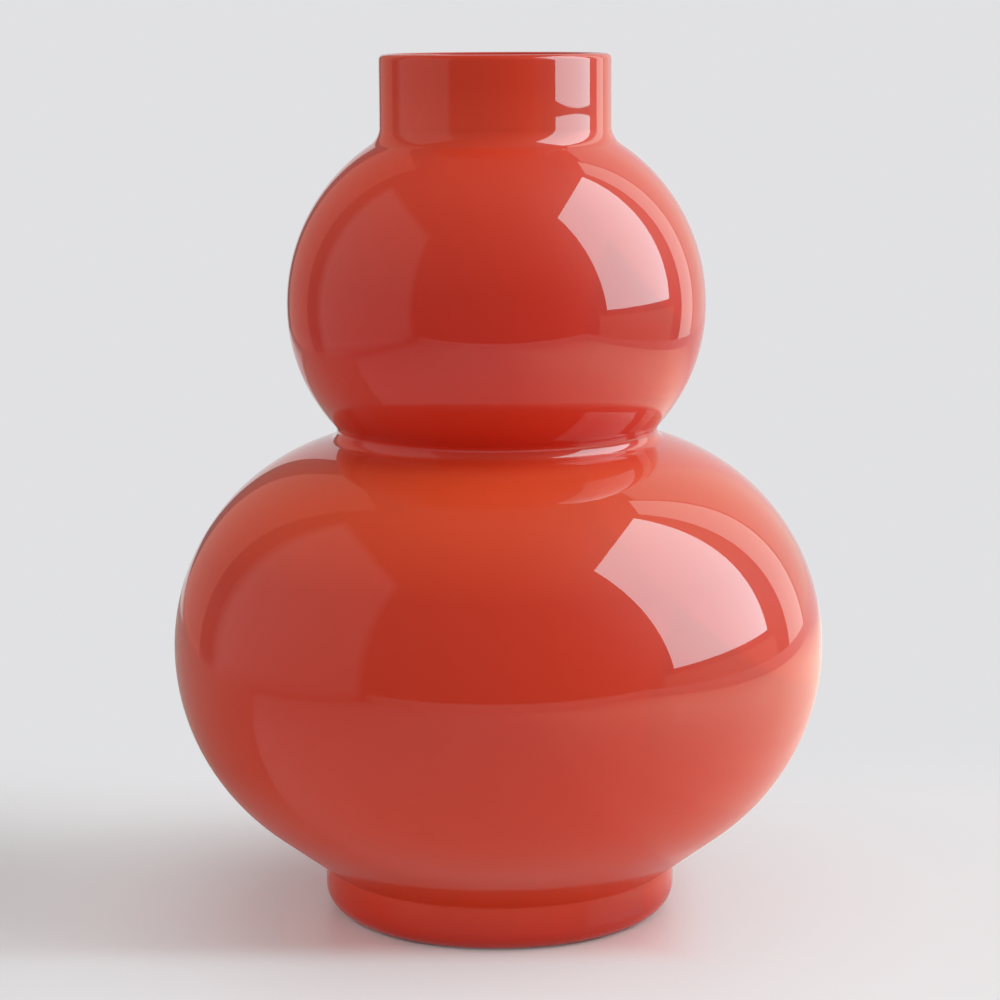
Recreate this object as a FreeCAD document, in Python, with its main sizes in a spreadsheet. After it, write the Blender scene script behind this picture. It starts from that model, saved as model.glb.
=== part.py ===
import FreeCAD, Part
import math
import os
import Sketcher

# Double gourd vase of cased glass, in millimetres.
# The origin is the centre of the base, on the surface that the vase stands on, and +Z points up.
# Four hot-joined sections, the foot, the lower bulb, the upper bulb and the neck, meet on level planes.
# Each hollow section is two fused layers of glass, an outer overlay and an inner core.

# Driving sizes. Each rise is measured up from the end of the last.
SIZES = {
    # Glass
    "wall_thickness": 4.0,
    "overlay_thickness": 1.2,
    "floor_thickness": 7.0,
    "floor_corner_radius": 16.0,
    # Foot
    "foot_radius": 62.0,
    "foot_height": 15.7,
    "foot_edge_radius": 7.5,
    "standing_ring_width": 5.0,
    "recess_depth": 4.0,
    "pontil_radius": 13.0,
    "pontil_depth": 1.2,
    # Lower bulb, from the foot to the belly and on to the waist. The share says how straight the wall
    # is below the belly: 0 would make it one arc up from the crease, and 1 a cone.
    "crease_fillet": 1.5,
    "taper_share": 0.389,
    "belly_radius": 113.9,
    "belly_rise": 79.2,
    "waist_radius": 56.0,
    "waist_rise": 75.9,
    "waist_fillet": 3.6,
    # Upper bulb, from the waist to the crown and on to the foot of the neck
    "crown_radius": 72.5,
    "crown_rise": 43.6,
    "neck_root_rise": 61.1,
    "neck_root_fillet": 7.7,
    # Neck
    "neck_radius": 39.8,
    "neck_height": 24.5,
}

# Sizes that follow from the driving ones. A name that ends in centre is how far an arc's centre
# lies from the axis, and one that ends in arc is the arc's radius.
DERIVED = {
    "belly_height": "foot_height + belly_rise",
    "waist_height": "belly_height + waist_rise",
    "crown_height": "waist_height + crown_rise",
    "neck_root_height": "crown_height + neck_root_rise",
    "vase_height": "neck_root_height + neck_height",
    "lip_radius": "wall_thickness / 2",
    "lip_height": "vase_height - lip_radius",
    "lip_centre": "neck_radius - lip_radius",
    "ring_radius": "foot_radius - foot_edge_radius",
    "recess_radius": "ring_radius - standing_ring_width",
    "pontil_top": "recess_depth + pontil_depth",
    "crease_centre": "foot_radius + crease_fillet",
    "waist_centre": "waist_radius + waist_fillet",
    "neck_root_centre": "neck_radius + neck_root_fillet",
    # The tapered wall's outward normal points below the level by the taper's angle. The belly's arc
    # touches the straight taper, which touches the crease's fillet.
    "belly_slope": "atan2(belly_rise; belly_radius - crease_centre)",
    "taper_angle": "180 deg - 2 * belly_slope - taper_share * (90 deg - belly_slope)",
    "belly_arc": "((crease_centre - belly_radius) * cos(taper_angle) + belly_rise * sin(taper_angle)"
                 " - crease_fillet) / (1 - cos(taper_angle))",
    "belly_centre": "belly_radius - belly_arc",
    # The belly's shoulder and the crown's under arc touch the waist's fillet
    "shoulder_run": "waist_centre - belly_radius",
    "belly_shoulder_arc": "(shoulder_run^2 + waist_rise^2 - waist_fillet^2)"
                          " / (2 * (waist_fillet - shoulder_run))",
    "belly_shoulder_centre": "belly_radius - belly_shoulder_arc",
    "crown_under_run": "waist_centre - crown_radius",
    "crown_under_arc": "(crown_under_run^2 + crown_rise^2 - waist_fillet^2)"
                       " / (2 * (waist_fillet - crown_under_run))",
    "crown_under_centre": "crown_radius - crown_under_arc",
    # The crown's shoulder touches the fillet at the neck's root
    "crown_shoulder_run": "neck_root_centre - crown_radius",
    "crown_shoulder_arc": "(crown_shoulder_run^2 + neck_root_rise^2 - neck_root_fillet^2)"
                          " / (2 * (neck_root_fillet - crown_shoulder_run))",
    "crown_shoulder_centre": "crown_radius - crown_shoulder_arc",
    # The cavity's floor meets the tapered wall in a corner arc
    "floor_height": "foot_height + floor_thickness",
    "floor_corner_height": "floor_height + floor_corner_radius",
    "floor_corner_centre": "belly_centre + ((floor_corner_height - belly_height) * sin(taper_angle)"
                           " + belly_arc - wall_thickness - floor_corner_radius) / cos(taper_angle)",
}

# Points of a sketch's item, and the sketch's upright axis and its origin
START = 1
END = 2
CENTRE = 3
UPRIGHT = -2
ORIGIN = (-1, START)


def fill_sheet(doc):
    """Write the driving sizes, then the derived ones, each with its name as its cell's alias."""
    sheet = doc.addObject("Spreadsheet::Sheet", "Sizes")
    cells = list(SIZES.items()) + [(name, "=" + formula) for name, formula in DERIVED.items()]
    for row, (name, content) in enumerate(cells, 1):
        sheet.set(f"A{row}", name)
        sheet.setAlias(f"B{row}", name)
        sheet.set(f"B{row}", str(content))
    doc.recompute()


def size(name):
    """A size of the sheet: millimetres, or degrees for an angle."""
    found = FreeCAD.ActiveDocument.getObject("Sizes").get(name)
    return getattr(found, "Value", found)


class Outline:
    """A closed outline on a body's XZ plane: x is the distance from the axis, y is the height."""

    def __init__(self, body, name):
        self.sketch = body.newObject("Sketcher::SketchObject", name)
        planes = [item for item in body.Origin.OriginFeatures if item.Role == "XZ_Plane"]
        self.sketch.AttachmentSupport = [(planes[0], "")]
        self.sketch.MapMode = "FlatFace"

    def line(self, start, end):
        shape = Part.LineSegment(FreeCAD.Vector(*start, 0), FreeCAD.Vector(*end, 0))
        return self.sketch.addGeometry(shape, False)

    def arc(self, centre, radius, start_angle, end_angle):
        """Add an arc that runs anticlockwise between two angles, in radians."""
        circle = Part.Circle(FreeCAD.Vector(*centre, 0), FreeCAD.Vector(0, 0, 1), radius)
        return self.sketch.addGeometry(Part.ArcOfCircle(circle, start_angle, end_angle), False)

    def fix(self, kind, *places):
        """Add a constraint that holds no size."""
        self.sketch.addConstraint(Sketcher.Constraint(kind, *places))

    def bind(self, kind, places, value, formula):
        """Add a constraint whose size follows a formula of the sheet's names."""
        index = self.sketch.addConstraint(Sketcher.Constraint(kind, *places, value))
        self.sketch.setExpression(f"Constraints[{index}]", formula)

    def place_x(self, item, point, name):
        self.bind("DistanceX", (*ORIGIN, item, point), size(name), f"Sizes.{name}")

    def place_y(self, item, point, name):
        self.bind("DistanceY", (*ORIGIN, item, point), size(name), f"Sizes.{name}")


class Surface:
    """Arcs and lines that follow each other up one surface of the glass, each tangent to the last.

    An arc is given by the angles of the surface's outward normal at its lower and upper ends. The
    depth is the name of how far the surface lies below the glass's outside, or None on the outside.
    """

    def __init__(self, outline, depth):
        self.outline = outline
        self.depth = depth
        self.foot = None
        self.top = None

    def join(self, item, lower, upper):
        if self.foot is None:
            self.foot = (item, lower)
        else:
            self.outline.fix("Tangent", *self.top, item, lower)
        self.top = (item, upper)

    def offset(self, radius, sign):
        """An arc's radius at this depth, as a number and as a formula."""
        if self.depth is None:
            return size(radius), f"Sizes.{radius}"
        mark = "+" if sign > 0 else "-"
        return size(radius) + sign * size(self.depth), f"Sizes.{radius} {mark} Sizes.{self.depth}"

    def round(self, radius, centre, height, lower, upper):
        """Add an arc that bulges outwards: it gets smaller with depth."""
        actual, formula = self.offset(radius, -1)
        item = self.outline.arc((size(centre), size(height)), actual, lower, upper)
        self.join(item, START, END)
        self.outline.bind("Radius", (item,), actual, formula)
        return item

    def hollow(self, radius, centre, height, lower, upper):
        """Add an arc that curves inwards, round a centre outside the glass: it grows with depth."""
        actual, formula = self.offset(radius, 1)
        angles = (math.pi + upper, math.pi + lower)
        item = self.outline.arc((size(centre), size(height)), actual, *angles)
        self.join(item, END, START)
        self.outline.bind("Radius", (item,), actual, formula)
        return item

    def line(self, start, end):
        item = self.outline.line(start, end)
        self.join(item, START, END)
        return item


def off_centre(centre, height, distance, normal):
    """The point that lies at a distance from an arc's centre, along a normal's angle."""
    x = size(centre) + distance * math.cos(normal)
    return x, size(height) + distance * math.sin(normal)


def normal_between(centre, height, next_centre, next_height):
    """The angle of the line from one arc's centre to the next one's."""
    return math.atan2(size(next_height) - size(height), size(next_centre) - size(centre))


def lower_bulb_sides(surface):
    """The belly, its shoulder and the lower part of the waist, above the tapered wall."""
    outline = surface.outline
    taper = -math.radians(size("taper_angle"))
    waist = normal_between("belly_shoulder_centre", "belly_height", "waist_centre", "waist_height")
    belly = surface.round("belly_arc", "belly_centre", "belly_height", taper, 0)
    shoulder = surface.round("belly_shoulder_arc", "belly_shoulder_centre", "belly_height", 0, waist)
    fillet = surface.hollow("waist_fillet", "waist_centre", "waist_height", waist, 0)
    outline.place_y(belly, CENTRE, "belly_height")
    outline.place_y(shoulder, CENTRE, "belly_height")
    outline.place_x(shoulder, CENTRE, "belly_shoulder_centre")
    outline.place_y(fillet, CENTRE, "waist_height")
    outline.place_y(*surface.top, "waist_height")


def lower_bulb_outside(outline, depth=None):
    """The lower bulb's outer face, or the face between its layers, from the foot to the waist."""
    surface = Surface(outline, depth)
    taper = -math.radians(size("taper_angle"))
    crease = surface.hollow("crease_fillet", "crease_centre", "foot_height", 0, taper)
    crease_radius = surface.offset("crease_fillet", 1)[0]
    belly_arc = surface.offset("belly_arc", -1)[0]
    surface.line(off_centre("crease_centre", "foot_height", -crease_radius, taper),
                 off_centre("belly_centre", "belly_height", belly_arc, taper))
    lower_bulb_sides(surface)
    outline.place_x(crease, CENTRE, "crease_centre")
    outline.place_y(crease, CENTRE, "foot_height")
    outline.place_y(*surface.foot, "foot_height")
    return surface


def lower_bulb_cavity(outline):
    """The lower bulb's inner face, from the middle of its floor to the waist."""
    surface = Surface(outline, "wall_thickness")
    taper = -math.radians(size("taper_angle"))
    corner = size("floor_corner_radius")
    floor = outline.line((0, size("floor_height")), (size("floor_corner_centre"), size("floor_height")))
    surface.join(floor, START, END)
    bend = outline.arc((size("floor_corner_centre"), size("floor_corner_height")), corner,
                       -math.pi / 2, taper)
    surface.join(bend, START, END)
    belly_arc = surface.offset("belly_arc", -1)[0]
    wall = surface.line(off_centre("floor_corner_centre", "floor_corner_height", corner, taper),
                        off_centre("belly_centre", "belly_height", belly_arc, taper))
    lower_bulb_sides(surface)
    outline.fix("Horizontal", floor)
    outline.fix("PointOnObject", floor, START, UPRIGHT)
    outline.place_y(floor, START, "floor_height")
    outline.bind("Radius", (bend,), corner, "Sizes.floor_corner_radius")
    outline.bind("Angle", (wall,), math.pi / 2 + taper, "90 deg - Sizes.taper_angle")
    return surface


def upper_bulb_side(outline, depth=None):
    """A surface of the upper bulb, from the waist to the foot of the neck."""
    surface = Surface(outline, depth)
    waist = normal_between("crown_under_centre", "crown_height", "waist_centre", "waist_height")
    root = normal_between("crown_shoulder_centre", "crown_height",
                          "neck_root_centre", "neck_root_height")
    fillet = surface.hollow("waist_fillet", "waist_centre", "waist_height", 0, waist)
    under = surface.round("crown_under_arc", "crown_under_centre", "crown_height", waist, 0)
    shoulder = surface.round("crown_shoulder_arc", "crown_shoulder_centre", "crown_height", 0, root)
    collar = surface.hollow("neck_root_fillet", "neck_root_centre", "neck_root_height", root, 0)
    outline.place_y(fillet, CENTRE, "waist_height")
    outline.place_y(under, CENTRE, "crown_height")
    outline.place_y(shoulder, CENTRE, "crown_height")
    outline.place_x(shoulder, CENTRE, "crown_shoulder_centre")
    outline.place_y(collar, CENTRE, "neck_root_height")
    outline.place_y(*surface.foot, "waist_height")
    outline.place_y(*surface.top, "neck_root_height")
    return surface


def point_at(outline, place):
    """Where a sketch's point lies, as distance from the axis and height."""
    point = outline.sketch.getPoint(*place)
    return point.x, point.y


def tie(outline, place, next_place):
    """Join two points of an outline with a straight line."""
    item = outline.line(point_at(outline, place), point_at(outline, next_place))
    outline.fix("Coincident", *place, item, START)
    outline.fix("Coincident", item, END, *next_place)
    return item


def revolve(body, outline, kind="Revolution", name="turned"):
    """Turn an outline a full circle round the upright axis: a Revolution adds, a Groove cuts."""
    feature = body.newObject(f"PartDesign::{kind}", name)
    feature.Profile = outline.sketch
    feature.ReferenceAxis = (outline.sketch, ["V_Axis"])
    feature.Angle = 360.0
    outline.sketch.Visibility = False
    body.Document.recompute()


def new_body(doc, name):
    body = doc.addObject("PartDesign::Body", name)
    body.Label = name
    return body


def make_foot(doc):
    """A thick disc with a rounded outer edge, a domed underside and a polished pontil mark."""
    body = new_body(doc, "foot")
    disc = Outline(body, "foot_outline")
    radius = size("foot_radius")
    ring = size("ring_radius")
    edge = size("foot_edge_radius")
    top = size("foot_height")
    base = disc.line((0, 0), (ring, 0))
    bend = disc.arc((ring, edge), edge, -math.pi / 2, 0)
    wall = disc.line((radius, edge), (radius, top))
    table = disc.line((radius, top), (0, top))
    axis = disc.line((0, top), (0, 0))
    disc.fix("Coincident", base, START, *ORIGIN)
    disc.fix("Tangent", base, END, bend, START)
    disc.fix("Tangent", bend, END, wall, START)
    disc.fix("Coincident", wall, END, table, START)
    disc.fix("Coincident", table, END, axis, START)
    disc.fix("Coincident", axis, END, base, START)
    disc.fix("Horizontal", base)
    disc.fix("Horizontal", table)
    disc.fix("Vertical", wall)
    disc.fix("Vertical", axis)
    disc.bind("Radius", (bend,), edge, "Sizes.foot_edge_radius")
    disc.place_x(wall, START, "foot_radius")
    disc.place_y(wall, END, "foot_height")
    revolve(body, disc)

    recess = Outline(body, "recess_outline")
    reach = size("recess_radius")
    rise = size("recess_depth")
    dome = (reach ** 2 + rise ** 2) / (2 * rise)
    vault = recess.arc((0, rise - dome), dome, math.asin((dome - rise) / dome), math.pi / 2)
    recess.fix("PointOnObject", vault, CENTRE, UPRIGHT)
    recess.fix("PointOnObject", vault, END, UPRIGHT)
    recess.fix("PointOnObject", vault, START, -1)
    recess.place_x(vault, START, "recess_radius")
    recess.place_y(vault, END, "recess_depth")
    middle = recess.line((0, rise), (0, 0))
    recess.fix("Coincident", vault, END, middle, START)
    recess.fix("Coincident", middle, END, *ORIGIN)
    mouth = recess.line((0, 0), (reach, 0))
    recess.fix("Coincident", middle, END, mouth, START)
    recess.fix("Coincident", mouth, END, vault, START)
    revolve(body, recess, "Groove", "recess")

    pontil = Outline(body, "pontil_outline")
    reach = size("pontil_radius")
    rise = size("pontil_depth")
    dish = (reach ** 2 + rise ** 2) / (2 * rise)
    low = size("recess_depth")
    high = size("pontil_top")
    hollow = pontil.arc((0, high - dish), dish, math.asin((dish - rise) / dish), math.pi / 2)
    pontil.fix("PointOnObject", hollow, CENTRE, UPRIGHT)
    pontil.fix("PointOnObject", hollow, END, UPRIGHT)
    pontil.place_x(hollow, START, "pontil_radius")
    pontil.place_y(hollow, START, "recess_depth")
    pontil.place_y(hollow, END, "pontil_top")
    middle = pontil.line((0, high), (0, 0))
    pontil.fix("Coincident", hollow, END, middle, START)
    pontil.fix("Coincident", middle, END, *ORIGIN)
    mouth = pontil.line((0, 0), (reach, 0))
    pontil.fix("Coincident", middle, END, mouth, START)
    pontil.fix("Horizontal", mouth)
    side = pontil.line((reach, 0), (reach, low))
    pontil.fix("Coincident", mouth, END, side, START)
    pontil.fix("Coincident", side, END, hollow, START)
    pontil.fix("Vertical", side)
    revolve(body, pontil, "Groove", "pontil_mark")
    return body


def make_lower_core(doc):
    """The lower bulb's inner layer, a cup with a thick floor that stands on the foot."""
    body = new_body(doc, "lower_bulb_core")
    outline = Outline(body, "core_outline")
    outside = lower_bulb_outside(outline, "overlay_thickness")
    cavity = lower_bulb_cavity(outline)
    tie(outline, outside.top, cavity.top)
    axis = outline.line((0, size("floor_height")), (0, size("foot_height")))
    outline.fix("Coincident", *cavity.foot, axis, START)
    outline.fix("PointOnObject", axis, END, UPRIGHT)
    outline.place_y(axis, END, "foot_height")
    tie(outline, (axis, END), outside.foot)
    revolve(body, outline)
    return body


def make_layer(doc, name, surface_maker, outer_depth, inner_depth):
    """A layer of glass between two surfaces of a bulb that is open at both ends."""
    body = new_body(doc, name)
    outline = Outline(body, "layer_outline")
    outer = surface_maker(outline, outer_depth)
    inner = surface_maker(outline, inner_depth)
    tie(outline, outer.top, inner.top)
    tie(outline, inner.foot, outer.foot)
    revolve(body, outline)
    return body


def make_neck_overlay(doc):
    """The neck's outer layer, up to where the rounded lip passes into the core."""
    body = new_body(doc, "neck_overlay")
    outline = Outline(body, "layer_outline")
    base = size("neck_root_height")
    outer = size("neck_radius")
    inner = outer - size("overlay_thickness")
    lip = size("lip_radius")
    seam = math.acos((inner - size("lip_centre")) / lip)
    rise = size("lip_height") + lip * math.sin(seam)
    outside = outline.line((outer, base), (outer, size("lip_height")))
    bend = outline.arc((size("lip_centre"), size("lip_height")), lip, 0, seam)
    inside = outline.line((inner, rise), (inner, base))
    seat = outline.line((inner, base), (outer, base))
    outline.fix("Tangent", outside, END, bend, START)
    outline.fix("Coincident", bend, END, inside, START)
    outline.fix("Coincident", inside, END, seat, START)
    outline.fix("Coincident", seat, END, outside, START)
    outline.fix("Vertical", outside)
    outline.fix("Vertical", inside)
    outline.fix("Horizontal", seat)
    outline.bind("Radius", (bend,), lip, "Sizes.lip_radius")
    outline.place_y(bend, CENTRE, "lip_height")
    outline.place_x(outside, START, "neck_radius")
    outline.place_y(outside, START, "neck_root_height")
    outline.bind("DistanceX", (*ORIGIN, inside, END), inner,
                 "Sizes.neck_radius - Sizes.overlay_thickness")
    revolve(body, outline)
    return body


def make_neck_core(doc):
    """The neck's inner layer, whose rounded top is the rest of the lip."""
    body = new_body(doc, "neck_core")
    outline = Outline(body, "layer_outline")
    base = size("neck_root_height")
    outer = size("neck_radius") - size("overlay_thickness")
    inner = size("neck_radius") - size("wall_thickness")
    lip = size("lip_radius")
    seam = math.acos((outer - size("lip_centre")) / lip)
    rise = size("lip_height") + lip * math.sin(seam)
    outside = outline.line((outer, base), (outer, rise))
    bend = outline.arc((size("lip_centre"), size("lip_height")), lip, seam, math.pi)
    inside = outline.line((inner, size("lip_height")), (inner, base))
    seat = outline.line((inner, base), (outer, base))
    outline.fix("Coincident", outside, END, bend, START)
    outline.fix("Tangent", bend, END, inside, START)
    outline.fix("Coincident", inside, END, seat, START)
    outline.fix("Coincident", seat, END, outside, START)
    outline.fix("Vertical", outside)
    outline.fix("Vertical", inside)
    outline.fix("Horizontal", seat)
    outline.bind("Radius", (bend,), lip, "Sizes.lip_radius")
    outline.place_y(bend, CENTRE, "lip_height")
    outline.place_y(outside, START, "neck_root_height")
    outline.bind("DistanceX", (*ORIGIN, outside, START), outer,
                 "Sizes.neck_radius - Sizes.overlay_thickness")
    outline.bind("DistanceX", (*ORIGIN, inside, END), inner,
                 "Sizes.neck_radius - Sizes.wall_thickness")
    revolve(body, outline)
    return body


def check(doc, bodies):
    """Stop if any object failed, a sketch has freedom left or a piece isn't one sound solid."""
    for item in doc.Objects:
        if "Invalid" in item.State or "Error" in item.State:
            raise RuntimeError(f"{item.Name} failed: {item.State}")
        if item.isDerivedFrom("Sketcher::SketchObject") and not item.FullyConstrained:
            raise RuntimeError(f"{item.Name} has freedom left")
    for body in bodies:
        shape = body.Shape
        if shape.isNull() or not shape.isValid() or len(shape.Solids) != 1:
            raise RuntimeError(f"{body.Label} isn't one valid solid")
        box = shape.optimalBoundingBox()
        print(f"{body.Label}: {shape.Volume / 1000:.2f} cm3, radius {box.XMax:.2f} mm, "
              f"height {box.ZMin:.2f} to {box.ZMax:.2f} mm")


def main():
    doc = FreeCAD.newDocument("double_gourd_vase")
    fill_sheet(doc)
    bodies = [
        make_foot(doc),
        make_lower_core(doc),
        make_layer(doc, "lower_bulb_overlay", lower_bulb_outside, None, "overlay_thickness"),
        make_layer(doc, "upper_bulb_core", upper_bulb_side, "overlay_thickness", "wall_thickness"),
        make_layer(doc, "upper_bulb_overlay", upper_bulb_side, None, "overlay_thickness"),
        make_neck_core(doc),
        make_neck_overlay(doc),
    ]
    doc.recompute()
    check(doc, bodies)
    os.makedirs("parts", exist_ok=True)
    for body in bodies:
        body.Shape.exportStep(f"parts/{body.Label}.step")


main()
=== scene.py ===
import logging
import math
from dataclasses import dataclass, replace
from enum import Enum

import bpy
from mathutils import Matrix, Vector


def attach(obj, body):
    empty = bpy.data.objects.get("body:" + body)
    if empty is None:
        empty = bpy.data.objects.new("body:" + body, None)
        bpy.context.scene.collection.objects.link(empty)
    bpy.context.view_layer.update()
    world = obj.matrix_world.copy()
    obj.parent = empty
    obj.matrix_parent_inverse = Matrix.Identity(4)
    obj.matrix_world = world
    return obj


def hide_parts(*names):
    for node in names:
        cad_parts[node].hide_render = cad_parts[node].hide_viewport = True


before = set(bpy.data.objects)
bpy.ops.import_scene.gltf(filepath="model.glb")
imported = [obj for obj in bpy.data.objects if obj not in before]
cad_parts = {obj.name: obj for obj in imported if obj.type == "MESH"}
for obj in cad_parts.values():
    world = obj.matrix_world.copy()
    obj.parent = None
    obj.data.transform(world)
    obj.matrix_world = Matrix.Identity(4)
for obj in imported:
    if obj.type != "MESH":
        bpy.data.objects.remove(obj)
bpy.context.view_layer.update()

# Double gourd vase of coral cased glass. Lengths are in metres, and the vase's axis is +Z.
# Every section of the vase is turned again at a finer step than the frame's solids, on the same
# surfaces: an outline is drawn in the XZ half plane by spinning one vertex round each arc's centre,
# and the outline is then spun round the axis.

MM = 0.001
VASE_HEIGHT = 300 * MM
BODY = "root"
GLASS_IOR = 1.5
PAPER_COLOUR = "#EEEDED"

LOG = logging.getLogger("double_gourd_vase")


class Glass(Enum):
    """The record's slots of the vase's glass."""

    OVERLAY = "overlay_glass"
    CORE = "core_glass"
    FOOT = "foot_glass"


def linear(hex_colour: str) -> tuple[float, float, float, float]:
    """Turn an sRGB colour into a linear one.

    Args:
        hex_colour: Six hexadecimal digits after a number sign.

    Returns:
        Red, green, blue and an alpha of 1.
    """
    channels = [int(hex_colour[place:place + 2], 16) / 255 for place in (1, 3, 5)]
    # The curve and its numbers are those of the sRGB standard.
    steps = [c / 12.92 if c <= 0.04045 else ((c + 0.055) / 1.055) ** 2.4 for c in channels]
    return (*steps, 1.0)


def add_node(tree: bpy.types.NodeTree, kind: str, settings: dict[str, object] | None = None,
             links: dict[str | int, bpy.types.NodeSocket] | None = None) -> bpy.types.Node:
    """Add a shader node with its settings and links.

    Args:
        tree: The node tree that gets the node.
        kind: The node's type, such as ShaderNodeTexNoise.
        settings: Values by name, of a property of the node or else of one of its inputs.
        links: The socket that feeds each input, by its name or place.

    Returns:
        The new node.
    """
    node = tree.nodes.new(kind)
    for name, value in (settings or {}).items():
        if hasattr(node, name):
            setattr(node, name, value)
        else:
            node.inputs[name].default_value = value
    for name, source in (links or {}).items():
        tree.links.new(source, node.inputs[name])
    return node


def set_stops(node: bpy.types.Node, stops: list[tuple[float, tuple[float, float, float, float]]]) -> None:
    """Set the stops of a colour ramp.

    Args:
        node: The ramp's node.
        stops: The stops from the lowest up, each a share of the ramp and a linear colour.
    """
    elements = node.color_ramp.elements
    while len(elements) < len(stops):
        elements.new(1.0)
    for element, (share, colour) in zip(elements, stops):
        element.position = share
        element.color = colour


def new_material(name: str) -> bpy.types.Material:
    """Make a material with no nodes.

    Args:
        name: The material's name.

    Returns:
        The new material.
    """
    material = bpy.data.materials.new(name)
    material.use_nodes = True
    material.node_tree.nodes.clear()
    return material


def finish_material(material: bpy.types.Material, shader: bpy.types.NodeSocket) -> None:
    """Send a shader to the material's surface."""
    add_node(material.node_tree, "ShaderNodeOutputMaterial", links={"Surface": shader})


@dataclass(frozen=True)
class CasedGlass:
    """Opaque glass gathered in layers, blown by hand and fire-polished.

    The colour sits below a clear, mirror-smooth surface. Its zones are painted paler and more orange
    on both shoulders, which face the light, as painted light, and a deeper red round the waist's
    crease and both bulbs' widest rings, as painted shade. The bounds between those zones wander as
    they do in hand-blown glass. The undersides of the bulbs were reheated less, and shine less.
    """

    name: str
    zones: tuple[tuple[float, str], ...]
    shine_shares: tuple[tuple[float, float], ...]
    cloud_size: float = 95 * MM
    cloud_detail: float = 2.0
    cloud_roughness: float = 0.4
    cloud_drift: float = 3 * MM
    ripple_size: float = 38 * MM
    ripple_depth: float = 0.02 * MM
    body_roughness: float = 0.5
    polish: float = 0.012
    haze: float = 0.17

    def material(self) -> bpy.types.Material:
        """Make the finish's material.

        Returns:
            The material.
        """
        material = new_material(self.name)
        tree = material.node_tree
        place = add_node(tree, "ShaderNodeTexCoord").outputs["Object"]
        cloud = add_node(tree, "ShaderNodeTexNoise", {
            "Scale": 1 / self.cloud_size, "Detail": self.cloud_detail,
            "Roughness": self.cloud_roughness}, {"Vector": place})
        drift = add_node(tree, "ShaderNodeMapRange", {
            "To Min": -self.cloud_drift, "To Max": self.cloud_drift}, {"Value": cloud.outputs["Fac"]})
        height = add_node(tree, "ShaderNodeSeparateXYZ", links={"Vector": place})
        wandering = add_node(tree, "ShaderNodeMath", {"operation": "ADD"},
                             {0: height.outputs["Z"], 1: drift.outputs["Result"]})
        level = add_node(tree, "ShaderNodeMapRange", {"From Max": VASE_HEIGHT},
                         {"Value": wandering.outputs["Value"]})
        # The tone by height, which in the coral glass and the foot holds painted light and shade.
        tone = add_node(tree, "ShaderNodeValToRGB", links={"Fac": level.outputs["Result"]})
        set_stops(tone, [(up / VASE_HEIGHT, linear(hue)) for up, hue in self.zones])
        shine = add_node(tree, "ShaderNodeValToRGB", links={"Fac": level.outputs["Result"]})
        set_stops(shine, [(up / VASE_HEIGHT, (share, share, share, 1.0))
                          for up, share in self.shine_shares])
        ripple = add_node(tree, "ShaderNodeTexNoise", {"Scale": 1 / self.ripple_size, "Detail": 0.0},
                          {"Vector": place})
        relief = add_node(tree, "ShaderNodeBump", {"Strength": 1.0, "Distance": self.ripple_depth},
                          {"Height": ripple.outputs["Fac"]})
        shader = add_node(tree, "ShaderNodeBsdfPrincipled", {
            "Roughness": self.body_roughness, "IOR": GLASS_IOR, "Specular IOR Level": self.haze,
            "Coat Roughness": self.polish, "Coat IOR": GLASS_IOR,
        }, {"Base Color": tone.outputs["Color"], "Coat Weight": shine.outputs["Color"],
            "Normal": relief.outputs["Normal"], "Coat Normal": relief.outputs["Normal"]})
        finish_material(material, shader.outputs["BSDF"])
        return material


@dataclass(frozen=True)
class GroundGlass:
    """The standing ring, ground flat on a wet belt: a pale, matt, finely scratched band.

    Its scratches are drawn coarser than a belt's grit, so that they show.
    """

    name: str = "ground_glass"
    colour: str = "#C98672"
    roughness: float = 0.7
    grit: float = 0.9 * MM
    grit_detail: float = 3.0
    grit_depth: float = 0.03 * MM
    relief_share: float = 0.6

    def material(self) -> bpy.types.Material:
        """Make the finish's material.

        Returns:
            The material.
        """
        material = new_material(self.name)
        tree = material.node_tree
        place = add_node(tree, "ShaderNodeTexCoord").outputs["Object"]
        grains = add_node(tree, "ShaderNodeTexNoise", {
            "Scale": 1 / self.grit, "Detail": self.grit_detail}, {"Vector": place})
        relief = add_node(tree, "ShaderNodeBump", {
            "Strength": self.relief_share, "Distance": self.grit_depth}, {"Height": grains.outputs["Fac"]})
        shader = add_node(tree, "ShaderNodeBsdfPrincipled", {
            "Base Color": linear(self.colour), "Roughness": self.roughness, "IOR": GLASS_IOR,
        }, {"Normal": relief.outputs["Normal"]})
        finish_material(material, shader.outputs["BSDF"])
        return material


# The coral outside of both bulbs and the neck. Its zones hold painted light and shade: paler and
# more orange on the shoulders, deeper red at the waist and the widest rings, and paler low on the
# lower bulb as painted light against the shade of the crease above the foot.
OVERLAY_FINISH = CasedGlass(
    name="coral_cased_glass",
    zones=((16 * MM, "#CA320B"), (30 * MM, "#C63209"), (48 * MM, "#C4310A"), (90 * MM, "#BA290A"),
           (130 * MM, "#B92B0D"), (152 * MM, "#C73E1A"), (164 * MM, "#CB4320"), (171 * MM, "#C4240E"),
           (190 * MM, "#C4280F"), (207 * MM, "#BA210C"), (224 * MM, "#B8240A"), (255 * MM, "#C3351B"),
           (276 * MM, "#C73618"), (290 * MM, "#BF2D0D")),
    shine_shares=((16 * MM, 0.45), (50 * MM, 0.52), (90 * MM, 0.84), (115 * MM, 1.0), (172 * MM, 1.0),
                  (190 * MM, 0.75), (215 * MM, 1.0)))
# The darker core, which shows only inside the mouth.
CORE_FINISH = CasedGlass(
    name="deep_red_core_glass", zones=((0.0, "#9C1C0A"), (VASE_HEIGHT, "#AC2510")),
    shine_shares=((0.0, 1.0), (VASE_HEIGHT, 1.0)))
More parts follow.
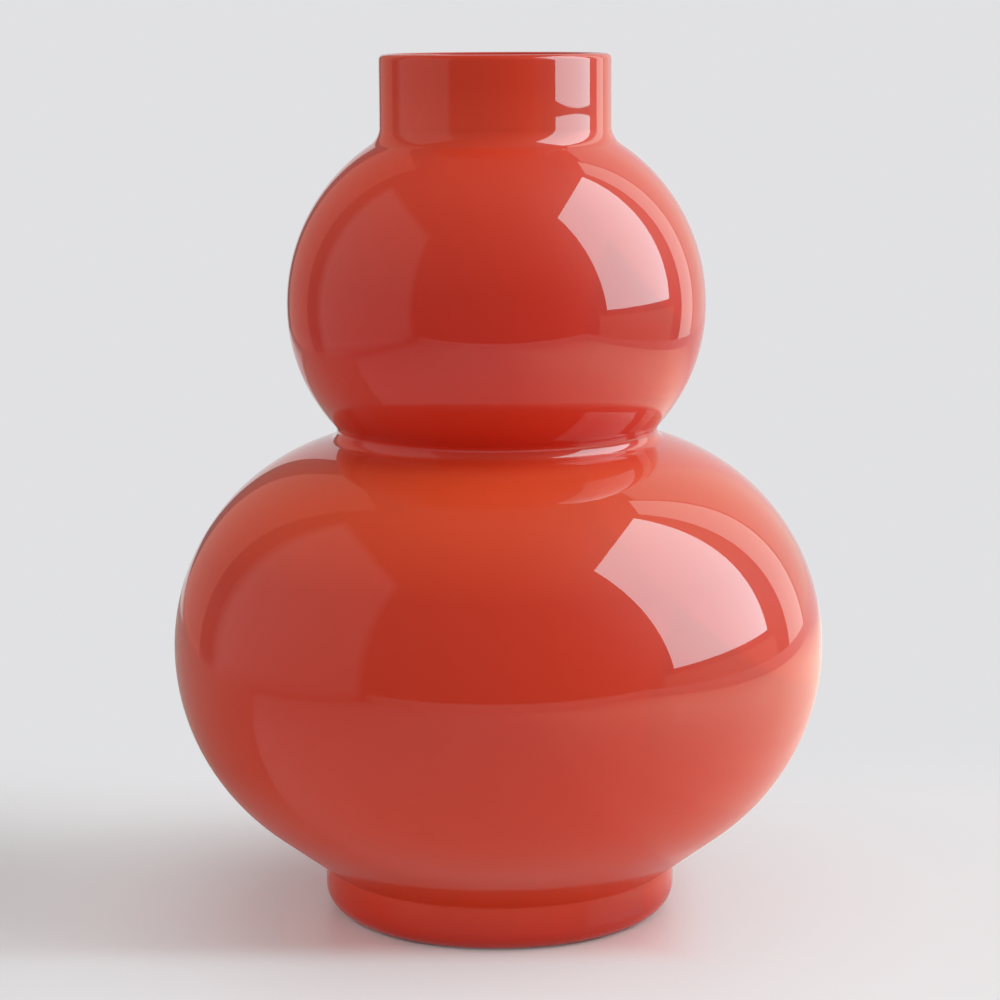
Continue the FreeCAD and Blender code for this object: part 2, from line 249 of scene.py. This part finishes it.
# The foot, which is one coral gather. Its colour is painted paler towards its upper edge, painted
# light that lifts the shade of the crease above it.
FOOT_FINISH = CasedGlass(
    name="coral_foot_glass", zones=((0.0, "#B42008"), (7 * MM, "#BC260A"), (16 * MM, "#CA3410")),
    shine_shares=((0.0, 0.76), (16 * MM, 0.76)), haze=0.02)
RING_FINISH = GroundGlass()


class Lathe:
    """Draws an outline from one vertex and turns it round the vase's axis."""

    ARC_STEP = math.radians(2.0)
    LEAST_ARC_STEPS = 2
    RUN = 2.5 * MM
    TURN_STEPS = 240
    WELD = 0.001 * MM
    SHARP = math.radians(35)

    def __init__(self, name: str, radius: float, height: float) -> None:
        """Start an outline.

        Args:
            name: The name of the piece.
            radius: The first point's distance from the axis.
            height: The first point's height.
        """
        self.place = Vector((radius, 0, height))
        bpy.ops.object.select_all(action="DESELECT")
        bpy.ops.mesh.primitive_plane_add(size=self.RUN, location=self.place)
        self.piece = bpy.context.active_object
        self.piece.name = name
        self.piece.data.name = name
        bpy.ops.object.mode_set(mode="EDIT")
        bpy.context.tool_settings.mesh_select_mode = (True, False, False)
        bpy.ops.mesh.merge(type="CENTER")

    def line(self, radius: float, height: float) -> None:
        """Draw a straight stretch in short runs, so that its shading stays straight.

        Args:
            radius: The end's distance from the axis.
            height: The end's height.
        """
        whole = Vector((radius, 0, height)) - self.place
        runs = max(1, math.ceil(whole.length / self.RUN))
        for _ in range(runs):
            bpy.ops.mesh.extrude_vertices_move(TRANSFORM_OT_translate={"value": whole / runs})
        self.place = Vector((radius, 0, height))

    def reach(self, radius: float, height: float) -> None:
        """Draw a straight stretch, unless the outline has already come to its end.

        Args:
            radius: The end's distance from the axis.
            height: The end's height.
        """
        if (Vector((radius, 0, height)) - self.place).length > self.WELD:
            self.line(radius, height)

    def arc(self, radius: float, height: float, sweep: float) -> None:
        """Draw an arc.

        Args:
            radius: The centre's distance from the axis.
            height: The centre's height.
            sweep: The angle that it turns, anticlockwise as seen along +Y.
        """
        centre = Vector((radius, 0, height))
        steps = max(self.LEAST_ARC_STEPS, math.ceil(abs(sweep) / self.ARC_STEP))
        bpy.ops.mesh.spin(steps=steps, angle=sweep, center=centre, axis=(0, 1, 0))
        self.place = centre + Matrix.Rotation(-sweep, 3, "Y") @ (self.place - centre)

    def turn(self) -> bpy.types.Object:
        """Spin the closed outline round the axis and weld it into one closed skin.

        Returns:
            The finished piece, whose object sits at the origin.
        """
        bpy.ops.mesh.select_all(action="SELECT")
        bpy.ops.mesh.spin(steps=self.TURN_STEPS, angle=math.tau, center=(0, 0, 0), axis=(0, 0, 1))
        bpy.ops.mesh.select_all(action="SELECT")
        bpy.ops.mesh.remove_doubles(threshold=self.WELD)
        bpy.ops.mesh.normals_make_consistent(inside=False)
        bpy.ops.object.mode_set(mode="OBJECT")
        bpy.ops.object.transform_apply(location=True, rotation=True, scale=True)
        bpy.ops.object.shade_smooth_by_angle(angle=self.SHARP)
        return self.piece


@dataclass(frozen=True)
class Arc:
    """An arc of the glass's outside in the XZ half plane. A hollow one is centred outside it."""

    radius: float
    centre: float
    height: float
    lower: float
    upper: float
    hollow: bool = False

    def size_at(self, depth: float) -> float:
        """The arc's radius on the surface that lies at a depth below the outside."""
        return self.radius + depth if self.hollow else self.radius - depth

    def end(self, depth: float, normal: float) -> tuple[float, float]:
        """The point whose outward normal has an angle, at a depth below the outside."""
        reach = -self.size_at(depth) if self.hollow else self.size_at(depth)
        return self.centre + reach * math.cos(normal), self.height + reach * math.sin(normal)

    def sweep(self) -> float:
        """The angle that the arc turns on its way up."""
        return self.upper - self.lower


@dataclass
class VaseForm:
    """The vase's driving sizes and the arcs that follow from them.

    The neck widens by a hair at its foot, which breaks the long reflections on it.
    """

    foot_radius: float = 62 * MM
    foot_height: float = 15.7 * MM
    foot_edge_radius: float = 7.5 * MM
    standing_ring_width: float = 5 * MM
    recess_depth: float = 4 * MM
    pontil_radius: float = 13 * MM
    pontil_depth: float = 1.2 * MM
    wall: float = 4 * MM
    overlay: float = 1.2 * MM
    floor: float = 7 * MM
    floor_corner: float = 16 * MM
    crease_fillet: float = 1.5 * MM
    taper_share: float = 0.389
    belly_radius: float = 113.9 * MM
    belly_rise: float = 79.2 * MM
    waist_radius: float = 56 * MM
    waist_rise: float = 75.9 * MM
    waist_fillet: float = 3.6 * MM
    crown_radius: float = 72.5 * MM
    crown_rise: float = 43.6 * MM
    root_rise: float = 61.1 * MM
    root_fillet: float = 7.7 * MM
    neck_radius: float = 39.8 * MM
    neck_height: float = 24.5 * MM
    neck_flare: float = 0.045 * MM
    neck_flare_rise: float = 3.2 * MM

    @property
    def belly_height(self) -> float:
        """Height of the lower bulb's widest ring."""
        return self.foot_height + self.belly_rise

    @property
    def waist_height(self) -> float:
        """Height of the narrowest ring between the bulbs."""
        return self.belly_height + self.waist_rise

    @property
    def crown_height(self) -> float:
        """Height of the upper bulb's widest ring."""
        return self.waist_height + self.crown_rise

    @property
    def root_height(self) -> float:
        """Height at which the straight neck starts."""
        return self.crown_height + self.root_rise

    @property
    def lip_height(self) -> float:
        """Height of the centre of the lip's rounding."""
        return self.root_height + self.neck_height - self.wall / 2

    @property
    def taper(self) -> float:
        """How far the tapered wall's outward normal points below the level."""
        slope = math.atan2(self.belly_rise, self.belly_radius - self.foot_radius - self.crease_fillet)
        return math.pi - 2 * slope - self.taper_share * (math.pi / 2 - slope)

    def fitted(self, extreme: float, centre: float, rise: float, fillet: float) -> float:
        """Fit the radius of an arc that touches both a bulb's widest ring and a hollow fillet.

        Args:
            extreme: The widest ring's radius.
            centre: The fillet's centre, from the axis.
            rise: The height from the widest ring to the fillet's centre.
            fillet: The fillet's radius.

        Returns:
            The arc's radius.
        """
        run = centre - extreme
        return (run ** 2 + rise ** 2 - fillet ** 2) / (2 * (fillet - run))

    def bulb_arc(self, radius: float, extreme: float, height: float, lower: float,
                 upper: float) -> Arc:
        """An arc of a bulb, centred level with its widest ring."""
        return Arc(radius, extreme - radius, height, lower, upper)

    def belly(self) -> Arc:
        """Fit the arc below the lower bulb's widest ring.

        Returns:
            The arc.
        """
        crease = self.foot_radius + self.crease_fillet
        reach = (crease - self.belly_radius) * math.cos(self.taper)
        reach += self.belly_rise * math.sin(self.taper) - self.crease_fillet
        radius = reach / (1 - math.cos(self.taper))
        return self.bulb_arc(radius, self.belly_radius, self.belly_height, -self.taper, 0)

    def crease(self) -> Arc:
        """The small hollow fillet where the lower bulb meets the foot."""
        centre = self.foot_radius + self.crease_fillet
        return Arc(self.crease_fillet, centre, self.foot_height, 0, -self.taper, True)

    def shoulder(self) -> Arc:
        """Fit the arc from the lower bulb's widest ring to the waist.

        Returns:
            The arc.
        """
        centre = self.waist_radius + self.waist_fillet
        radius = self.fitted(self.belly_radius, centre, self.waist_rise, self.waist_fillet)
        meet = math.atan2(self.waist_rise, centre - self.belly_radius + radius)
        return self.bulb_arc(radius, self.belly_radius, self.belly_height, 0, meet)

    def under_crown(self) -> Arc:
        """Fit the arc from the waist to the upper bulb's widest ring.

        Returns:
            The arc.
        """
        centre = self.waist_radius + self.waist_fillet
        radius = self.fitted(self.crown_radius, centre, self.crown_rise, self.waist_fillet)
        meet = -math.atan2(self.crown_rise, centre - self.crown_radius + radius)
        return self.bulb_arc(radius, self.crown_radius, self.crown_height, meet, 0)

    def crown(self) -> Arc:
        """Fit the arc from the upper bulb's widest ring to the foot of the neck.

        Returns:
            The arc.
        """
        centre = self.neck_radius + self.root_fillet
        radius = self.fitted(self.crown_radius, centre, self.root_rise, self.root_fillet)
        meet = math.atan2(self.root_rise, centre - self.crown_radius + radius)
        return self.bulb_arc(radius, self.crown_radius, self.crown_height, 0, meet)

    def waist_below(self) -> Arc:
        """The lower half of the waist's fillet."""
        centre = self.waist_radius + self.waist_fillet
        return Arc(self.waist_fillet, centre, self.waist_height, self.shoulder().upper, 0, True)

    def waist_above(self) -> Arc:
        """The upper half of the waist's fillet."""
        centre = self.waist_radius + self.waist_fillet
        return Arc(self.waist_fillet, centre, self.waist_height, 0, self.under_crown().lower, True)

    def neck_root(self) -> Arc:
        """The fillet between the upper bulb and the neck."""
        centre = self.neck_radius + self.root_fillet
        return Arc(self.root_fillet, centre, self.root_height, self.crown().upper, 0, True)

    def floor_bend(self) -> Arc:
        """Fit the corner inside the lower bulb, between its floor and its tapered wall.

        Returns:
            The arc.
        """
        belly = self.belly()
        height = self.foot_height + self.floor + self.floor_corner
        reach = (height - self.belly_height) * math.sin(self.taper)
        reach += belly.radius - self.wall - self.floor_corner
        centre = belly.centre + reach / math.cos(self.taper)
        return Arc(self.floor_corner, centre, height, -math.pi / 2, -self.taper)


class Section:
    """A hot-joined section of the vase, whose pieces are turned on the lathe."""

    def __init__(self, form: VaseForm) -> None:
        """Keep the form that the section follows."""
        self.form = form

    def climb(self, lathe: Lathe, arcs: list[Arc], depth: float) -> None:
        """Draw arcs upwards, joined by straight stretches.

        Args:
            lathe: The lathe.
            arcs: The arcs, from the lowest to the highest.
            depth: How far the surface lies below the glass's outside.
        """
        for arc in arcs:
            lathe.reach(*arc.end(depth, arc.lower))
            lathe.arc(arc.centre, arc.height, arc.sweep())

    def descend(self, lathe: Lathe, arcs: list[Arc], depth: float) -> None:
        """Draw arcs downwards, joined by straight stretches.

        Args:
            lathe: The lathe.
            arcs: The arcs, from the lowest to the highest.
            depth: How far the surface lies below the glass's outside.
        """
        for arc in reversed(arcs):
            lathe.reach(*arc.end(depth, arc.upper))
            lathe.arc(arc.centre, arc.height, -arc.sweep())

    def layer(self, name: str, arcs: list[Arc], outer: float, inner: float) -> bpy.types.Object:
        """Turn a layer of glass that is open at both ends.

        Args:
            name: The piece's name.
            arcs: The outside's arcs, from the lowest to the highest.
            outer: The depth of the layer's outer face.
            inner: The depth of its inner face.

        Returns:
            The finished piece.
        """
        first = arcs[0].end(outer, arcs[0].lower)
        lathe = Lathe(name, *first)
        self.climb(lathe, arcs, outer)
        self.descend(lathe, arcs, inner)
        lathe.line(*first)
        return lathe.turn()

    def dress(self, piece: bpy.types.Object, finish: CasedGlass, slot: Glass, node: str) -> None:
        """Give a piece its glass, and let it stand for its node of the frame.

        Args:
            piece: The finished piece.
            finish: Its glass.
            slot: The record's slot of that glass; not used.
            node: The node that it replaces.
        """
        piece.data.materials.append(finish.material())
        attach(piece, BODY)
        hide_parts(node)
        LOG.info("%s: %d faces of %s", piece.name, len(piece.data.polygons), finish.name)


class LowerBulb(Section):
    """The wide lower bulb, from the foot to the waist."""

    def outside(self) -> list[Arc]:
        """The arcs of the outside, from the crease to the waist."""
        form = self.form
        return [form.crease(), form.belly(), form.shoulder(), form.waist_below()]

    def build(self) -> None:
        """Turn and dress the bulb's two layers."""
        form = self.form
        overlay = self.layer("lower_bulb_glass", self.outside(), 0, form.overlay)
        self.dress(overlay, OVERLAY_FINISH, Glass.OVERLAY, "lower_bulb_overlay")
        lathe = Lathe("lower_bulb_lining", 0, form.foot_height)
        lathe.line(*self.outside()[0].end(form.overlay, 0))
        self.climb(lathe, self.outside(), form.overlay)
        inside = [form.belly(), form.shoulder(), form.waist_below()]
        self.descend(lathe, inside, form.wall)
        self.descend(lathe, [form.floor_bend()], 0)
        lathe.line(0, form.foot_height + form.floor)
        self.dress(lathe.turn(), CORE_FINISH, Glass.CORE, "lower_bulb_core")


class UpperBulb(Section):
    """The smaller upper bulb, from the waist to the foot of the neck."""

    def build(self) -> None:
        """Turn and dress the bulb's two layers."""
        form = self.form
        arcs = [form.waist_above(), form.under_crown(), form.crown(), form.neck_root()]
        overlay = self.layer("upper_bulb_glass", arcs, 0, form.overlay)
        self.dress(overlay, OVERLAY_FINISH, Glass.OVERLAY, "upper_bulb_overlay")
        core = self.layer("upper_bulb_lining", arcs, form.overlay, form.wall)
        self.dress(core, CORE_FINISH, Glass.CORE, "upper_bulb_core")


class Neck(Section):
    """The straight neck with its fully rounded lip."""

    def build(self) -> None:
        """Turn and dress the neck's two layers."""
        form = self.form
        lip = form.wall / 2
        centre = form.neck_radius - lip
        seam = math.acos((lip - form.overlay) / lip)
        between = form.neck_radius - form.overlay
        root = form.neck_radius + form.neck_flare
        lathe = Lathe("neck_glass", root, form.root_height)
        lathe.line(form.neck_radius, form.root_height + form.neck_flare_rise)
        lathe.line(form.neck_radius, form.lip_height)
        lathe.arc(centre, form.lip_height, seam)
        lathe.line(between, form.root_height)
        lathe.line(root, form.root_height)
        self.dress(lathe.turn(), OVERLAY_FINISH, Glass.OVERLAY, "neck_overlay")
        lathe = Lathe("neck_lining", between, form.root_height)
        lathe.line(between, form.lip_height + lip * math.sin(seam))
        lathe.arc(centre, form.lip_height, math.pi - seam)
        lathe.line(form.neck_radius - form.wall, form.root_height)
        lathe.line(between, form.root_height)
        self.dress(lathe.turn(), CORE_FINISH, Glass.CORE, "neck_core")


class Foot(Section):
    """The low ring foot, with a ground standing ring, a domed underside and a pontil mark."""

    def build(self) -> None:
        """Turn and dress the foot."""
        form = self.form
        ring = form.foot_radius - form.foot_edge_radius
        recess = ring - form.standing_ring_width
        dome = (recess ** 2 + form.recess_depth ** 2) / (2 * form.recess_depth)
        dish = (form.pontil_radius ** 2 + form.pontil_depth ** 2) / (2 * form.pontil_depth)
        dome_centre = form.recess_depth - dome
        dish_centre = form.recess_depth + form.pontil_depth - dish
        lathe = Lathe("foot_glass", 0, form.foot_height)
        lathe.line(form.foot_radius, form.foot_height)
        lathe.line(form.foot_radius, form.foot_edge_radius)
        lathe.arc(ring, form.foot_edge_radius, -math.pi / 2)
        lathe.line(recess, 0)
        to_pontil = math.acos(form.pontil_radius / dome)
        to_floor = math.asin(-dome_centre / dome)
        lathe.arc(0, dome_centre, to_pontil - to_floor)
        lathe.line(form.pontil_radius, form.recess_depth)
        lathe.arc(0, dish_centre, math.asin(form.pontil_radius / dish))
        foot = lathe.turn()
        self.dress(foot, FOOT_FINISH, Glass.FOOT, "foot")
        foot.data.materials.append(RING_FINISH.material())
        for face in foot.data.polygons:
            if face.center.z < Lathe.WELD:
                face.material_index = 1


@dataclass(frozen=True)
class Paper:
    """Pale satin paper of the floor and the backdrop.

    Near the vase it is lit and shaded like any surface, and to the far left its colour darkens into
    a painted shade.
    Behind the vase it turns into the even tone of the photograph's background. Just in front of the
    vase and at its right it turns into that tone by about half, painted light that lifts the vase's
    shade and red bounce on the paper there, also as the glass mirrors it. Past the left edge of the
    backdrop it stays as the lamps light it.
    """

    name: str = "pale_studio_paper"
    colour: str = PAPER_COLOUR
    # The colour of the painted shade towards the far left.
    shade: str = "#8F8D8D"
    backdrop: str = "#E1E1E3"
    roughness: float = 0.35
    ior: float = 1.5
    gloss: float = 0.2
    shade_fade: tuple[float, float] = (-0.55, -0.06)
    back_fade: tuple[float, float] = (0.02, 0.21)
    front_fade: tuple[float, float] = (-0.047, -0.076)
    right_fade: tuple[float, float] = (0.045, 0.08)
    left_fade: tuple[float, float] = (-0.6, -0.45)
    painted_light_share: float = 0.55

    def material(self) -> bpy.types.Material:
        """Make the finish's material.

        Returns:
            The material.
        """
        material = new_material(self.name)
        tree = material.node_tree
        place = add_node(tree, "ShaderNodeTexCoord").outputs["Object"]
        axes = add_node(tree, "ShaderNodeSeparateXYZ", links={"Vector": place})
        fades = {
            "across": ("X", self.shade_fade, 1.0),
            "behind": ("Y", self.back_fade, 1.0),
            "before": ("Y", self.front_fade, self.painted_light_share),
            "beside": ("X", self.right_fade, self.painted_light_share),
            "within": ("X", self.left_fade, 1.0),
        }
        parts = {}
        for name, (axis, (start, end), most) in fades.items():
            node = add_node(tree, "ShaderNodeMapRange", {
                "interpolation_type": "SMOOTHSTEP", "From Min": start, "From Max": end,
                "To Max": most}, {"Value": axes.outputs[axis]})
            parts[name] = node.outputs["Result"]
        # Painted shade: the paper's colour darkens towards the far left.
        tone = add_node(tree, "ShaderNodeValToRGB", links={"Fac": parts["across"]})
        set_stops(tone, [(0.0, linear(self.shade)), (1.0, linear(self.colour))])
        lit = add_node(tree, "ShaderNodeBsdfPrincipled", {
            "Roughness": self.roughness, "IOR": self.ior, "Specular IOR Level": self.gloss},
            {"Base Color": tone.outputs["Color"]})
        even = add_node(tree, "ShaderNodeEmission", {"Color": linear(self.backdrop), "Strength": 1.0})
        rays = add_node(tree, "ShaderNodeLightPath")
        seen = add_node(tree, "ShaderNodeMath", {"operation": "ADD"},
                        {0: rays.outputs["Is Camera Ray"], 1: rays.outputs["Is Glossy Ray"]})
        shown = add_node(tree, "ShaderNodeMath", {"operation": "ADD"},
                         {0: seen.outputs["Value"], 1: rays.outputs["Is Transmission Ray"]})
        # Painted light: in front of the vase and at its right, part of the even tone lifts the shade.
        near = add_node(tree, "ShaderNodeMath", {"operation": "MAXIMUM"},
                        {0: parts["before"], 1: parts["beside"]})
        either = add_node(tree, "ShaderNodeMath", {"operation": "MAXIMUM"},
                          {0: parts["behind"], 1: near.outputs["Value"]})
        where = add_node(tree, "ShaderNodeMath", {"operation": "MULTIPLY"},
                         {0: either.outputs["Value"], 1: parts["within"]})
        blend = add_node(tree, "ShaderNodeMath", {"operation": "MULTIPLY", "use_clamp": True},
                         {0: shown.outputs["Value"], 1: where.outputs["Value"]})
        mixed = add_node(tree, "ShaderNodeMixShader", links={
            "Fac": blend.outputs["Value"], 1: lit.outputs["BSDF"], 2: even.outputs["Emission"]})
        finish_material(material, mixed.outputs["Shader"])
        return material


@dataclass(frozen=True)
class MirroredShadeCard:
    """Matt warm grey card of painted shade, which only the glass mirrors, in place of the pale table
    behind its left side.

    Its right edge is as pale as the table, and it can't be seen from below.
    """

    name: str = "mirrored_shade_card"
    colour: str = "#B3A8A0"
    edge_colour: str = PAPER_COLOUR
    roughness: float = 0.8
    edge_fade: tuple[float, float] = (-0.07, -0.16)

    def material(self) -> bpy.types.Material:
        """Make the finish's material.

        Returns:
            The material.
        """
        material = new_material(self.name)
        tree = material.node_tree
        place = add_node(tree, "ShaderNodeTexCoord").outputs["Object"]
        axes = add_node(tree, "ShaderNodeSeparateXYZ", links={"Vector": place})
        start, end = self.edge_fade
        across = add_node(tree, "ShaderNodeMapRange", {
            "interpolation_type": "SMOOTHSTEP", "From Min": start, "From Max": end},
            {"Value": axes.outputs["X"]})
        tone = add_node(tree, "ShaderNodeValToRGB", links={"Fac": across.outputs["Result"]})
        set_stops(tone, [(0.0, linear(self.edge_colour)), (1.0, linear(self.colour))])
        matt = add_node(tree, "ShaderNodeBsdfPrincipled", {
            "Roughness": self.roughness, "Specular IOR Level": 0.0}, {"Base Color": tone.outputs["Color"]})
        side = add_node(tree, "ShaderNodeNewGeometry")
        clear = add_node(tree, "ShaderNodeBsdfTransparent")
        mixed = add_node(tree, "ShaderNodeMixShader", links={
            "Fac": side.outputs["Backfacing"], 1: matt.outputs["BSDF"], 2: clear.outputs["BSDF"]})
        finish_material(material, mixed.outputs["Shader"])
        return material


@dataclass(frozen=True)
class Card:
    """A flat rectangular lamp: a softbox, a lit card or a broad fill.

    Unturned it faces +Y, its turn swings it about Z, and its lean tips it towards the floor. Both are
    in degrees. One that lights nothing only shows mirrored in the glass, and a fill isn't mirrored.
    """

    name: str
    radiance: float
    place: tuple[float, float, float]
    width: float
    height: float
    turn: float = 0.0
    lean: float = 0.0
    colour: str = "#FFFFFF"
    lights: bool = True
    mirrored: bool = True

    def build(self) -> None:
        """Add the lamp."""
        bpy.ops.object.select_all(action="DESELECT")
        bpy.ops.object.light_add(type="AREA", location=self.place)
        lamp = bpy.context.active_object
        lamp.name = self.name
        lamp.data.shape = "RECTANGLE"
        lamp.data.size = self.width
        lamp.data.size_y = self.height
        lamp.data.energy = self.radiance * math.pi * self.width * self.height
        lamp.data.color = linear(self.colour)[:3]
        lamp.rotation_euler = (math.radians(90 - self.lean), 0, math.radians(self.turn))
        lamp.visible_camera = False
        lamp.visible_diffuse = self.lights
        lamp.visible_glossy = self.mirrored


# The large softbox at the front right, once as the glass mirrors it and once for its light.
SOFTBOX = Card(
    name="softbox", radiance=6.9, place=(1.666, -0.266, 1.333), width=1.67, height=2.312, turn=89.26,
    lean=15.5, colour="#C8F8FF", lights=False)
SOFTBOX_WASH = replace(
    SOFTBOX, name="softbox_wash", radiance=4.7, colour="#FFFFFF", lights=True, mirrored=False)
SOFTBOX_SKIRT = Card(
    name="softbox_skirt", radiance=0.45, place=(1.72, -0.266, -0.12), width=1.75, height=0.5, turn=89.26,
    colour="#FFE6C4", lights=False)
# Cards that the glass mirrors along its edges.
LEFT_RIM_CARD = Card(
    name="left_rim_card", radiance=0.45, place=(-0.62, 0.79, 0.7), width=0.88, height=1.4, turn=-90,
    colour="#FFA890", lights=False)
RIM_CARD = Card(
    name="rim_card", radiance=2.15, place=(1.31, 0.918, 1.125), width=0.4, height=2.75, turn=125,
    colour="#DEF4EE", lights=False)
SIDE_CARD = Card(
    name="side_card", radiance=0.85, place=(0.975, 1.393, 1.125), width=0.72, height=2.75, turn=145,
    colour="#E2F2E6", lights=False)
# Broad soft fills.
FRONT_FILL = Card(
    name="front_fill", radiance=1.1, place=(-0.5, -2.1, 1.1), width=2.6, height=2.0, turn=-13, lean=22,
    mirrored=False)
LEFT_FILL = Card(
    name="left_fill", radiance=0.97, place=(-1.8, -0.3, 0.9), width=2.0, height=1.6, turn=-83, lean=20,
    mirrored=False)
TOP_FILL = Card(
    name="top_fill", radiance=1.0, place=(0.3, 0, 2.4), width=2.4, height=2.4, lean=90, mirrored=False)
# The largest of the dim cards that stand one behind the other on the left.
LEFT_CARD = Card(
    name="left_card", radiance=0.078, place=(-0.58, -0.21, 0.475), width=0.81, height=0.98, turn=-90)


@dataclass
class Stage:
    """A pale table with a low raised edge, a backdrop and a grey card of painted shade that lies on the
    table.
    """

    left: float = -0.8
    backdrop_left: float = -0.46
    right: float = 0.62
    front: float = -0.594
    back: float = 1.4
    edge_height: float = 48 * MM
    backdrop_height: float = 2.4
    card_left: float = -0.62
    card_right: float = -0.07
    card_front: float = -0.05
    card_back: float = 0.64
    card_lift: float = 2 * MM

    def build(self) -> None:
        """Add the panels. Only the glass's reflections show the grey card, which is painted shade."""
        paper = Paper().material()
        middle_x = (self.left + self.right) / 2
        middle_y = (self.front + self.back) / 2
        width = self.right - self.left
        depth = self.back - self.front
        edge_middle = self.edge_height / 2
        self.panel("table", (middle_x, middle_y, 0), width, depth, paper, upright=False)
        self.panel("backdrop", ((self.backdrop_left + self.right) / 2, self.back, self.backdrop_height / 2),
                   self.right - self.backdrop_left, self.backdrop_height, paper)
        self.panel("front_edge", (middle_x, self.front, edge_middle), width, self.edge_height, paper)
        self.panel("right_edge", (self.right, middle_y, edge_middle), depth, self.edge_height, paper,
                   turn=90)
        # Painted shade: a grey card left of the vase that only the glass mirrors.
        card_place = ((self.card_left + self.card_right) / 2, (self.card_front + self.card_back) / 2,
                      self.card_lift)
        card = self.panel("painted_shade_card", card_place, self.card_right - self.card_left,
                          self.card_back - self.card_front, MirroredShadeCard().material(), upright=False)
        card.visible_camera = False
        card.visible_diffuse = False
        card.visible_shadow = False

    def panel(self, name: str, place: tuple[float, float, float], width: float, height: float,
              material: bpy.types.Material, upright: bool = True, turn: float = 0.0) -> bpy.types.Object:
        """Add a flat panel.

        Args:
            name: The panel's name.
            place: Its centre.
            width: Its width.
            height: Its height, or its depth where it lies level.
            material: Its material.
            upright: Whether it stands.
            turn: Its turn about Z in degrees.

        Returns:
            The panel.
        """
        tilt = (math.pi / 2 if upright else 0, 0, math.radians(turn))
        bpy.ops.object.select_all(action="DESELECT")
        bpy.ops.mesh.primitive_plane_add(size=1.0, location=place, rotation=tilt)
        panel = bpy.context.active_object
        panel.name = name
        panel.scale = (width, height, 1)
        bpy.ops.object.transform_apply(location=True, rotation=True, scale=True)
        panel.data.materials.append(material)
        return panel


@dataclass
class Lighting:
    """The softbox, the cards, the fills, the table's glow and a dim room round the stage.

    The left card has a soft edge, because it is a stack of cards, each smaller than the one before
    it and a little further out. The table glows back more towards the softbox, in steps too faint
    to see.
    """

    cards: tuple[Card, ...] = (SOFTBOX, SOFTBOX_WASH, SOFTBOX_SKIRT, LEFT_RIM_CARD, RIM_CARD, SIDE_CARD,
                               FRONT_FILL, LEFT_FILL, TOP_FILL)
    insets: tuple[float, ...] = (0.0, 0.03, 0.06, 0.09, 0.12)
    inset_gap_share: float = 0.05
    glow_radiance: float = 0.14
    glow_colour: str = "#FFF4CC"
    glow_left: float = 0.066
    glow_right: float = 0.62
    glow_middle: float = -0.03
    glow_depth: float = 1.15
    glow_stride: float = 0.045
    glow_steps: int = 7
    glow_lift_share: float = 0.01
    room_colour: str = "#FFFFFF"
    room_radiance: float = 0.16

    def build(self) -> None:
        """Hang the lamps and light the room."""
        for card in self.cards:
            card.build()
        self.left_card()
        self.table_glow()
        self.room()

    def left_card(self) -> None:
        """Stack the left card."""
        x, y, z = LEFT_CARD.place
        for inset in self.insets:
            place = (x - inset * self.inset_gap_share, y, z)
            replace(LEFT_CARD, place=place, width=LEFT_CARD.width - inset,
                    height=LEFT_CARD.height - inset).build()

    def table_glow(self) -> None:
        """Lay the table's glow in overlapping steps, which lie lower the narrower they are."""
        for step in range(self.glow_steps):
            left = self.glow_left + step * self.glow_stride
            width = self.glow_right - left
            depth = self.glow_depth - 2 * step * self.glow_stride
            place = ((left + self.glow_right) / 2, self.glow_middle, width * self.glow_lift_share)
            Card(name="table_glow", radiance=self.glow_radiance, place=place, width=width, height=depth,
                 lean=-90, colour=self.glow_colour).build()

    def room(self) -> None:
        """Surround the stage with a dim grey room."""
        world = bpy.data.worlds.new("dim_room")
        bpy.context.scene.world = world
        world.use_nodes = True
        tree = world.node_tree
        tree.nodes.clear()
        room = add_node(tree, "ShaderNodeBackground", {
            "Color": linear(self.room_colour), "Strength": self.room_radiance})
        add_node(tree, "ShaderNodeOutputWorld", links={"Surface": room.outputs["Background"]})


@dataclass
class Viewpoint:
    """The camera at the photograph's viewing angle. Its angles are in degrees, its lens in millimetres."""

    distance: float = 0.9444
    height: float = 0.3119
    pitch: float = 10.01
    roll: float = 0.33
    lens: float = 98.35
    sensor: float = 36.0
    shift_share: float = 0.0025

    def build(self) -> None:
        """Place the camera."""
        bpy.ops.object.camera_add(location=(0, -self.distance, self.height))
        camera = bpy.context.active_object
        camera.data.sensor_width = self.sensor
        camera.data.lens = self.lens
        camera.data.shift_x = self.shift_share
        tilt = Matrix.Rotation(math.radians(90 - self.pitch), 4, "X")
        turn = Matrix.Rotation(math.radians(-self.roll), 4, "Z")
        camera.matrix_world = Matrix.Translation(camera.location) @ tilt @ turn
        bpy.context.scene.camera = camera


def main() -> None:
    """Build the vase and its studio."""
    logging.basicConfig(level=logging.INFO, format="%(name)s: %(message)s")
    bpy.context.scene.view_settings.view_transform = "Standard"
    form = VaseForm()
    for section in (Foot(form), LowerBulb(form), UpperBulb(form), Neck(form)):
        section.build()
    for part in (Stage(), Lighting(), Viewpoint()):
        part.build()


if __name__ == "__main__":
    main()
